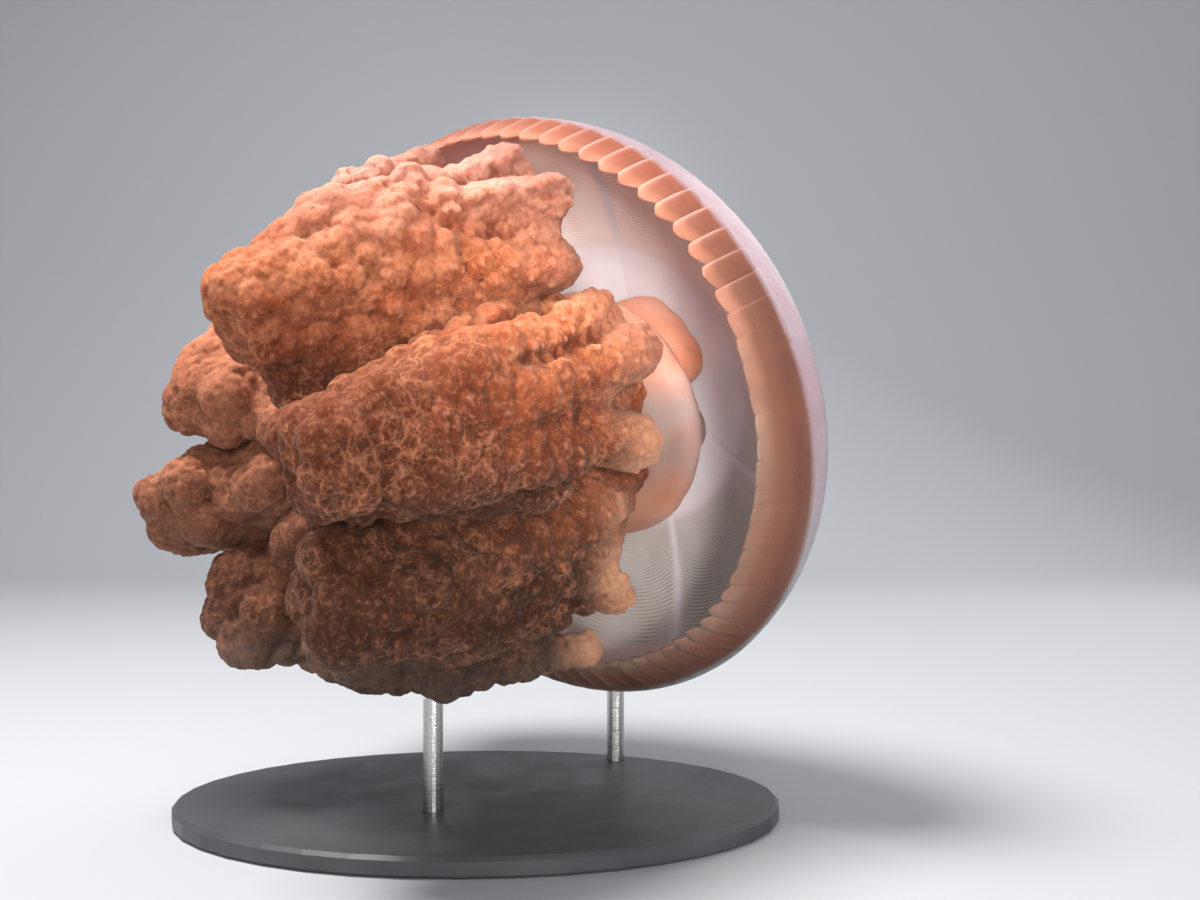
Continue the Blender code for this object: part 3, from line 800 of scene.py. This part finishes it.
def arm_skin(number):
    arm = ARMS[number]
    draw = random.Random(number)
    lobes = core_lobes(arm) + filling(arm)
    for ridge in RIDGES:
        lobes += ridge_core(arm, ridge)
        lobes += ridge_folds(arm, ridge, draw)
    lobes += side_core(arm, -1) + side_core(arm, 1)
    obj = flowing_body("arm_body", *ellipsoids(lobes), FLOW_VOXEL, 2)
    close_valleys(obj)
    normals = normals_of(obj.data)
    body = points_of(obj.data)
    body = body - normals * body_inset(number, -body[:, 2] / BELL_R)[:, None]
    faces = triangles_of(obj.data)
    balls, ball_faces = ellipsoids(knobs(number, body, normals), 3)
    bpy.data.objects.remove(obj)
    points = np.concatenate([body, balls])
    faces = np.concatenate([faces, ball_faces + len(body)])
    obj = flowing_body(f"arm_skin_{number}", points, faces, ARM_VOXEL, 2)
    mesh = obj.data
    base = points_of(mesh)
    normal = normals_of(mesh)
    base = base - normal * furrows(arm, base, number)[:, None]
    set_points(mesh, base)
    normal = normals_of(mesh)
    warp = np.stack([soft_noise(base, WARP_SIZE, s) for s in (11, 12, 13)], 1) * WARP_REACH
    patch = ramp(soft_noise(base, FRILL_PATCH, 60 + number), -0.5, 0.5)
    co = base
    for size, reach, bend in FRILLS:
        bump = 1 - np.clip(nearest_seed(base + warp * bend, size, 40 + number) / 0.9, 0, 1) ** 2
        co = co + normal * ((bump - 0.75) * reach * mix(0.7, 1.1, patch))[:, None]
        set_points(mesh, co)
        normal = normals_of(mesh)

    depth = -base[:, 2] / BELL_R
    centre = np.stack([LEAN.x * depth, LEAN.y * depth, -depth], 1) * BELL_R
    spread = np.linalg.norm(base - centre, axis=1) / BELL_R
    # hollow masks; the frill colour paints shade into the creases and valleys by them, and a highlight on
    # convex edges
    for name, rounds, full in HOLLOWS:
        set_mask(mesh, name, ((settled(obj, rounds) - co) * normal).sum(axis=1) / full)
    set_mask(mesh, "finger", (1 - ramp(depth, 0.28, 0.50)) * ramp(spread, 0.46, 0.66))
    # painted shade on surfaces that face down
    set_mask(mesh, "under", ramp(-(normal @ WORLD_UP), -0.35, 0.85))
    share = np.clip((depth - FINGER_DEPTH) / (arm.tip_depth - FINGER_DEPTH), 0, 1)
    azimuth = np.radians(mix(arm.root, arm.tip, share))
    line = centre + around(azimuth, 0 * share) * ARM_MIDDLE * BELL_R
    # painted shade on each arm's lower side, weaker on the calm arms
    belly_shade = ramp(-((base - line) @ WORLD_UP) / BELLY_HALF, -0.1, 1.0)
    set_mask(mesh, "belly_shade", belly_shade * (0.35 if number in CALM else 1.0))
    set_mask(mesh, "outer", np.full(len(base), 1.0 - CALM.get(number, 1.0)))
    # painted shade on the lower ends of arms 1 and 2
    set_mask(mesh, "tip", ramp(depth, 0.65, 1.10) * (1.0 if number in SHADED_TIP_ARMS else 0.0))
    set_mask(mesh, "low", lowness(base))
    mesh.shade_smooth()
    return obj


# ---------------------------------------------------------------- materials
class Nodes:
    """Short forms for building a node material."""

    def __init__(self, name):
        self.mat = bpy.data.materials.new(name)
        self.mat.use_nodes = True
        self.tree = self.mat.node_tree
        self.shader = self.tree.nodes["Principled BSDF"]

    def add(self, kind, **values):
        node = self.tree.nodes.new(kind)
        for key, value in values.items():
            setattr(node, key, value)
        return node

    def link(self, out, socket):
        self.tree.links.new(out, socket)

    def put(self, node, name, value):
        socket = node.inputs[name]
        if hasattr(value, "is_output"):
            self.link(value, socket)
        else:
            socket.default_value = value

    def mask(self, name):
        return self.add("ShaderNodeAttribute", attribute_name=name).outputs["Fac"]

    def place(self):
        return self.add("ShaderNodeTexCoord").outputs["Object"]

    def noise(self, scale, detail=3.0, rough=0.5, vector=None):
        node = self.add("ShaderNodeTexNoise")
        self.put(node, "Vector", vector or self.place())
        self.put(node, "Scale", scale)
        self.put(node, "Detail", detail)
        self.put(node, "Roughness", rough)
        return node.outputs["Fac"]

    def voronoi(self, scale, feature="F1", vector=None):
        node = self.add("ShaderNodeTexVoronoi", feature=feature)
        self.put(node, "Vector", vector or self.place())
        self.put(node, "Scale", scale)
        return node.outputs["Distance"]

    def math(self, operation, a, b):
        node = self.add("ShaderNodeMath", operation=operation)
        self.put(node, 0, a)
        self.put(node, 1, b)
        return node.outputs[0]

    def times(self, a, b):
        return self.math("MULTIPLY", a, b)

    def span(self, value, low, high, to_low=0.0, to_high=1.0):
        node = self.add("ShaderNodeMapRange", interpolation_type="SMOOTHSTEP")
        self.put(node, "Value", value)
        for name, number in (("From Min", low), ("From Max", high), ("To Min", to_low), ("To Max", to_high)):
            self.put(node, name, number)
        return node.outputs["Result"]

    def mix(self, share, first, second):
        node = self.add("ShaderNodeMix", data_type="RGBA")
        self.put(node, 0, share)
        self.put(node, 6, first if hasattr(first, "is_output") else (*first, 1.0))
        self.put(node, 7, second if hasattr(second, "is_output") else (*second, 1.0))
        return node.outputs[2]

    def bump(self, height, distance, strength):
        node = self.add("ShaderNodeBump")
        self.put(node, "Height", height)
        self.put(node, "Distance", distance)
        self.put(node, "Strength", strength)
        return node.outputs["Normal"]

    def set(self, **values):
        for key, value in values.items():
            name = key.replace("_", " ")
            self.put(self.shader, name, value)


def srgb(red, green, blue):
    """Linear colour from the usual 0 to 255 values."""
    out = []
    for value in (red, green, blue):
        part = value / 255
        out.append(part / 12.92 if part <= 0.04045 else ((part + 0.055) / 1.055) ** 2.4)
    return tuple(out)


def bell_material():
    n = Nodes("bell_jelly")
    low = n.mask("low")
    base = n.mix(n.span(n.noise(40), 0.35, 0.7), srgb(196, 182, 188), srgb(214, 198, 202))
    rosy = n.mix(n.mask("rim"), base, srgb(178, 156, 163))
    # the lower side painted darker and grey-blue, as shade from light above
    rosy = n.mix(n.span(low, 0.45, 0.95), rosy, srgb(150, 158, 162))
    # band: pale at the rim, dark where the flaps are thick, paler towards their ends; each tone painted
    # darker on the lower side, as shade from light above
    along = n.mask("along")
    uneven = n.math("ADD", along, n.times(n.math("SUBTRACT", n.mask("lappet_tone"), 0.5), 0.10))
    thick = n.mix(n.span(low, 0.0, 0.34), srgb(166, 98, 76), srgb(106, 72, 60))
    thin = n.mix(n.span(low, 0.0, 0.34), srgb(182, 112, 90), srgb(122, 86, 70))
    tip = n.mix(n.span(low, 0.05, 0.60), srgb(210, 138, 112), srgb(142, 114, 98))
    band = n.mix(n.span(along, 0.0, 0.17), rosy, thick)
    band = n.mix(n.span(uneven, 0.30, 0.62), band, thin)
    band = n.mix(n.span(uneven, 0.62, 0.92), band, tip)
    band = n.mix(n.span(n.noise(30, 2), 0.45, 0.75, 0.0, 0.25), band, srgb(120, 74, 58))
    # dark tone for the streaks and for painted shadow in the grooves, darker low down as painted shade
    dark = n.mix(low, srgb(156, 90, 68), srgb(84, 54, 44))
    band = n.mix(n.times(n.span(n.mask("streak"), 0.45, 0.95), n.span(low, 0.2, 0.5, 0.3, 0.5)), band, dark)
    # painted shadow in the groove under each overlapping lappet's edge
    band = n.mix(n.times(n.mask("groove"), 0.55), band, dark)
    # painted highlight along each lappet's free edge
    band = n.mix(n.times(n.mask("edge"), 0.36), band, srgb(242, 188, 166))
    colour = n.mix(n.span(n.mask("band"), 0.4, 0.9), rosy, band)
    # inside: very pale colours, as painted light for the light that comes through the bell; the muscle rings
    # darker low down, as painted shade
    grey = n.mix(n.span(n.noise(35), 0.35, 0.7), srgb(228, 216, 216), srgb(240, 228, 228))
    line = n.span(n.mask("muscle"), 0.05, 0.55)
    fibre = n.mix(line, srgb(224, 188, 174), srgb(246, 222, 212))
    fibre_low = n.mix(line, srgb(124, 108, 98), srgb(196, 186, 178))
    fibre = n.mix(n.span(low, 0.3, 0.7), fibre, fibre_low)
    under = n.mix(n.mask("muscle_zone"), grey, fibre)
    under = n.mix(n.mask("canal"), under, srgb(222, 212, 212))
    inside_band = n.mix(n.mask("end"), srgb(206, 150, 130), tip)
    under = n.mix(n.mask("band"), under, inside_band)
    colour = n.mix(n.span(n.mask("inside"), 0.4, 0.6), colour, under)
    grain = n.voronoi(620)
    height = n.times(n.math("SUBTRACT", 1.0, grain), n.span(n.mask("rim"), 0.0, 1.0, 0.35, 1.0))
    normal = n.bump(height, 0.0005, 0.5)
    n.set(Base_Color=colour, Roughness=n.span(n.noise(120), 0.3, 0.7, 0.34, 0.48), Normal=normal)
    n.set(Subsurface_Weight=0.6, Subsurface_Scale=0.012, Transmission_Weight=0.4, IOR=1.2)
    n.shader.inputs["Subsurface Radius"].default_value = (1.0, 0.8, 0.75)
    return n.mat


def frill_material():
    n = Nodes("frill_flesh")
    low = n.mask("low")
    crease = n.mask("crease")
    valley = n.mask("valley")
    patchy = n.span(n.noise(55, 4), 0.3, 0.7)
    # the colours darken from top to bottom: partly the arms' own browner lower parts, partly painted shade
    # from light above; greyer at the very bottom
    top = n.mix(patchy, srgb(186, 120, 102), srgb(200, 146, 130))
    high = n.mix(patchy, srgb(172, 94, 56), srgb(194, 124, 90))
    middle = n.mix(patchy, srgb(112, 52, 25), srgb(140, 73, 40))
    low_down = n.mix(patchy, srgb(70, 36, 19), srgb(90, 48, 27))
    bottom = srgb(150, 140, 130)
    colour = n.mix(n.span(low, 0.08, 0.30), top, high)
    colour = n.mix(n.span(low, 0.30, 0.52), colour, middle)
    colour = n.mix(n.span(low, 0.48, 0.76), colour, low_down)
    colour = n.mix(n.span(low, 0.82, 1.00), colour, bottom)
    # deep: dark brown used as painted shade (down-facing sides, lower sides, tips, valleys, creases) and for
    # the real dark spots and specks
    deep = n.mix(n.span(low, 0.1, 0.7), srgb(112, 46, 18), srgb(50, 26, 15))
    # painted shade on down-facing surfaces, on each arm's lower side and on the lower ends of arms 1 and 2
    shade = n.math("MAXIMUM", n.times(n.mask("under"), 0.6), n.times(n.mask("belly_shade"), 0.85))
    shade = n.math("MAXIMUM", shade, n.times(n.mask("tip"), 0.5))
    colour = n.mix(shade, colour, deep)
    colour = n.mix(n.times(n.mask("outer"), 0.6), colour, n.mix(low, srgb(216, 150, 118), srgb(140, 98, 80)))
    # painted shade in the valleys between the folds
    colour = n.mix(n.span(valley, 0.1, 1.2, 0.0, 0.75), colour, deep)
    # dark spots in a paler net on the lower parts
    swirl = n.add("ShaderNodeVectorMath", operation="MULTIPLY_ADD")
    ripple = n.add("ShaderNodeTexNoise")
    n.put(ripple, "Vector", n.place())
    n.put(ripple, "Scale", 160.0)
    n.link(ripple.outputs["Color"], swirl.inputs[0])
    swirl.inputs[1].default_value = (0.006, 0.006, 0.006)
    n.link(n.place(), swirl.inputs[2])
    net = n.voronoi(125, "DISTANCE_TO_EDGE", swirl.outputs[0])
    zone = n.times(n.span(low, 0.12, 0.34), n.span(n.noise(45), 0.44, 0.62))
    fine_net = n.voronoi(290, "DISTANCE_TO_EDGE", swirl.outputs[0])
    pale = n.mix(low, srgb(240, 166, 120), srgb(150, 104, 78))
    spot = n.times(n.span(net, 0.10, 0.34), zone)
    colour = n.mix(n.times(spot, 0.45), colour, deep)
    for lattice, thin, share in ((net, 0.09, 0.26), (fine_net, 0.11, 0.17)):
        lines = n.times(n.span(lattice, 0.0, thin, 1.0, 0.0), zone)
        colour = n.mix(n.times(lines, share), colour, pale)
    # painted highlight along the lobes' thin convex edges, and pale finger ends
    edge = n.span(crease, -0.9, -0.15, 1.0, 0.0)
    edge_highlight_colour = n.mix(low, srgb(244, 184, 156), srgb(160, 106, 82))
    colour = n.mix(n.times(edge, n.span(low, 0.4, 0.7, 0.42, 0.30)), colour, edge_highlight_colour)
    fingertip = n.mix(n.span(low, 0.38, 0.62), srgb(126, 86, 74), srgb(222, 166, 134))
    colour = n.mix(n.times(n.mask("finger"), n.span(low, 0.3, 0.6, 0.65, 0.5)), colour, fingertip)
    # painted shade in the creases
    colour = n.mix(n.span(crease, 0.15, 1.1, 0.0, 0.7), colour, deep)
    moss = n.math("ADD", n.times(n.noise(300, 2, 0.6), 0.45), n.times(n.noise(760, 3, 0.65), 0.55))
    speck = n.times(n.span(moss, 0.36, 0.52, 0.36, 0.0), n.span(n.mask("finger"), 0.0, 1.0, 1.0, 0.4))
    colour = n.mix(speck, colour, deep)
    colour = n.mix(n.span(moss, 0.50, 0.66, 0.0, 0.26), colour, pale)
    normal = n.bump(moss, 0.0010, 0.5)
    n.set(Base_Color=colour, Roughness=0.80, Normal=normal, Specular_IOR_Level=0.15)
    n.set(Subsurface_Weight=0.65, Subsurface_Scale=0.0045, Sheen_Weight=0.03, Sheen_Roughness=0.5)
    n.shader.inputs["Subsurface Radius"].default_value = (1.0, 0.45, 0.25)
    return n.mat


def disc_material():
    n = Nodes("disc_flesh")
    height = n.mask("height")
    patchy = n.span(n.noise(30, 2), 0.3, 0.7)
    upper = n.mix(patchy, srgb(196, 122, 90), srgb(206, 146, 122))
    lower = n.mix(patchy, srgb(120, 92, 82), srgb(134, 112, 104))
    bottom = n.mix(patchy, srgb(142, 92, 66), srgb(158, 112, 90))
    colour = n.mix(n.span(height, -0.30, -0.14), bottom, lower)
    colour = n.mix(n.span(height, 0.02, 0.20), colour, upper)
    colour = n.mix(n.span(n.mask("reach"), 0.38, 0.46, 0.0, 0.4), colour, srgb(190, 160, 152))
    colour = n.mix(n.span(n.noise(75, 4), 0.50, 0.74, 0.0, 0.45), colour, srgb(164, 92, 62))
    n.set(Base_Color=colour, Roughness=0.66, Normal=n.bump(n.noise(160, 3), 0.0006, 0.5))
    n.set(Subsurface_Weight=0.6, Subsurface_Scale=0.006, Coat_Weight=0.03, Coat_Roughness=0.5)
    n.shader.inputs["Subsurface Radius"].default_value = (1.0, 0.6, 0.45)
    return n.mat


def paint_material():
    n = Nodes("stand_paint")
    colour = n.mix(n.span(n.noise(30), 0.3, 0.7), srgb(66, 66, 68), srgb(76, 76, 78))
    n.set(Base_Color=colour, Roughness=n.span(n.noise(60), 0.3, 0.7, 0.38, 0.5),
          Normal=n.bump(n.noise(700, 2), 0.0002, 0.3))
    return n.mat


def steel_material():
    n = Nodes("stand_steel")
    stretch = n.add("ShaderNodeMapping")
    n.put(stretch, "Vector", n.place())
    n.put(stretch, "Scale", (1.0, 1.0, 60.0))
    rings = n.noise(60, 3, 0.6, stretch.outputs["Vector"])
    colour = n.mix(rings, srgb(170, 170, 168), srgb(206, 206, 204))
    n.set(Base_Color=colour, Metallic=1.0, Roughness=n.span(rings, 0.3, 0.7, 0.24, 0.38),
          Normal=n.bump(rings, 0.0001, 0.4))
    return n.mat


def plain_material(name, colour, roughness):
    n = Nodes(name)
    n.set(Base_Color=(*colour, 1.0), Roughness=roughness)
    return n.mat


# ---------------------------------------------------------------- the studio
def stage():
    bm = bmesh.new()
    sweep = [(-2.2, 0.0), (1.0, 0.0)]
    bend = 0.5
    for k in range(1, 13):
        angle = math.radians(90) * k / 12
        sweep.append((1.0 + bend * math.sin(angle), bend * (1 - math.cos(angle))))
    sweep.append((1.5, 2.6))
    left = [bm.verts.new((-3.0, y, z)) for y, z in sweep]
    right = [bm.verts.new((3.0, y, z)) for y, z in sweep]
    for k in range(len(sweep) - 1):
        bm.faces.new((left[k], right[k], right[k + 1], left[k + 1]))
    mesh = bpy.data.meshes.new("studio_sweep")
    bm.to_mesh(mesh)
    bm.free()
    mesh.shade_smooth()
    floor = new_object("studio_sweep", mesh, Matrix.Identity(4))
    mesh.materials.append(plain_material("studio_paper", (0.50, 0.51, 0.52), 0.8))


def area_light(name, at, aim, size, power, colour=(1, 1, 1), spread=180):
    data = bpy.data.lights.new(name, "AREA")
    data.shape = "DISK"
    data.size = size
    data.energy = power
    data.color = colour
    data.spread = math.radians(spread)
    lamp = bpy.data.objects.new(name, data)
    bpy.context.scene.collection.objects.link(lamp)
    lamp.location = at
    lamp.rotation_euler = (Vector(aim) - Vector(at)).to_track_quat("-Z", "Y").to_euler()


def lights():
    aim = (0, 0, 0.17)
    area_light("key", (-0.35, -0.15, 1.15), aim, 0.45, 20, (1.0, 0.98, 0.98))
    area_light("fill", (0.05, -1.4, 0.35), (0.05, 0.05, 0.16), 0.9, 8)
    area_light("into_bell", (0.22, -1.25, 0.22), (0.125, 0.06, 0.175), 0.3, 0.37, spread=12)
    area_light("into_bell_top", (0.16, -1.25, 0.05), (0.092, 0.07, 0.25), 0.2, 0.09, spread=9)
    area_light("back", (0.7, 0.9, 0.8), aim, 0.7, 4.5)
    world = bpy.data.worlds.new("studio")
    bpy.context.scene.world = world
    world.use_nodes = True
    back = world.node_tree.nodes["Background"]
    back.inputs["Color"].default_value = (0.86, 0.90, 1.0, 1.0)
    back.inputs["Strength"].default_value = 0.40


def camera():
    data = bpy.data.cameras.new("camera")
    data.lens = LENS
    data.sensor_width = SENSOR
    data.clip_start = 0.01
    cam = bpy.data.objects.new("camera", data)
    bpy.context.scene.collection.objects.link(cam)
    cam.location = CAMERA_AT
    cam.rotation_euler = (math.radians(90), 0, 0)
    bpy.context.scene.camera = cam
    bpy.context.scene.view_settings.view_transform = "Standard"


# ---------------------------------------------------------------- putting it together
def dress(obj, mat, slot, *nodes):
    obj.data.transform(obj.matrix_world)
    obj.matrix_world = Matrix.Identity(4)
    obj.data.materials.clear()
    obj.data.materials.append(mat)
    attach(obj, "root")
    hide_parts(*nodes)


def refinish(node, mat):
    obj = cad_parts[node]
    obj.data.materials.clear()
    obj.data.materials.append(mat)


def main():
    camera()
    stage()
    lights()
    dress(bell_skin(), bell_material(), "bell_jelly", "bell", *[f"margin_{k}" for k in range(1, 9)])
    dress(arm_disc_skin(), disc_material(), "disc_flesh", "arm_disc")
    frill = frill_material()
    for number in sorted(ARMS):
        dress(arm_skin(number), frill, "frill_flesh", f"oral_arm_{number}")
    refinish("stand_base", paint_material())
    steel = steel_material()
    refinish("stand_rod_bell", steel)
    refinish("stand_rod_arms", steel)


main()
